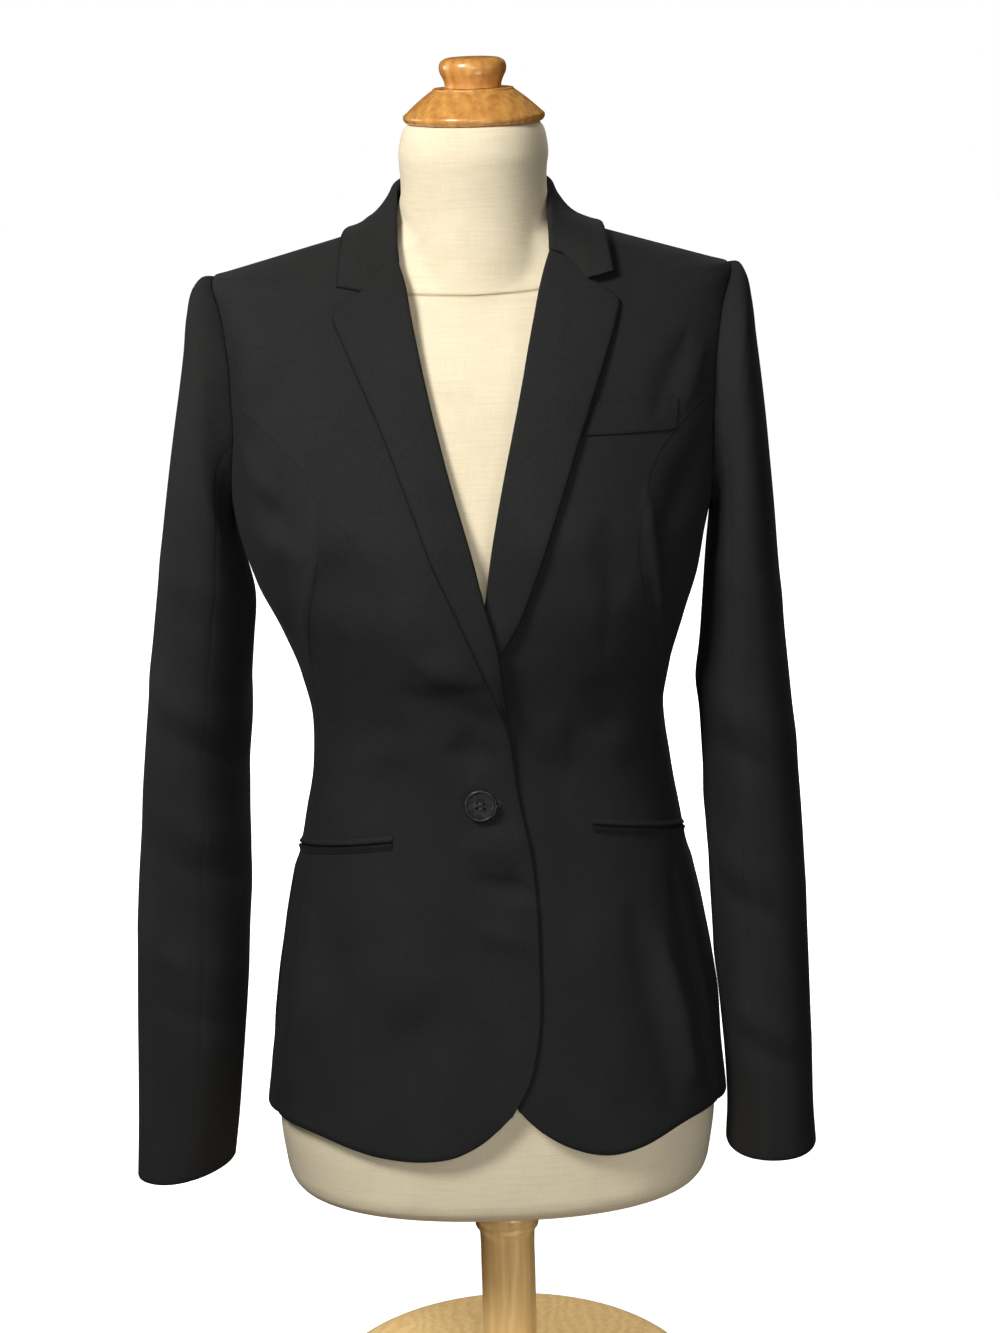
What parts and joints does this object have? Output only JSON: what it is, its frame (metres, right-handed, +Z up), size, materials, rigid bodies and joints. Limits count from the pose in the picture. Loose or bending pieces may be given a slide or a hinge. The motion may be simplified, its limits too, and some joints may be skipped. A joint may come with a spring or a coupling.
{
  "type": "single breasted blazer on a limbless dress form",
  "caption": "Fitted single breasted blazer with notch lapels, one button, jetted pockets and a chest welt, on a limbless dress form with a turned wooden stand.",
  "frame": {"origin": "centre of the underside of the stand's base", "axes": "+Z up along the stand, front of the jacket towards -Y, wearer's left at +X"},
  "size_m": [0.5209, 0.312, 1.0612],
  "materials": {
    "wool_suiting": "fine charcoal suiting, matt with a soft sheen",
    "button": "dark satin button",
    "linen_cover": "cream linen stretched over the form",
    "turned_wood": "honey coloured, varnished",
    "pale_wood": "pale, lightly varnished"
  },
  "bodies": {
    "root": {"right_front": "wool_suiting", "left_front": "wool_suiting", "right_side": "wool_suiting", "left_side": "wool_suiting", "right_back": "wool_suiting", "left_back": "wool_suiting", "right_lapel": "wool_suiting", "left_lapel": "wool_suiting", "collar_leaf": "wool_suiting", "collar_stand": "wool_suiting", "right_top_sleeve": "wool_suiting", "right_under_sleeve": "wool_suiting", "left_top_sleeve": "wool_suiting", "left_under_sleeve": "wool_suiting", "right_upper_jet": "wool_suiting", "right_lower_jet": "wool_suiting", "left_upper_jet": "wool_suiting", "left_lower_jet": "wool_suiting", "chest_welt": "wool_suiting", "button": "button", "form_torso": "linen_cover", "neck_cap": "turned_wood", "cap_knob": "turned_wood", "pole": "pale_wood", "base": "pale_wood"}
  },
  "joints": []
}
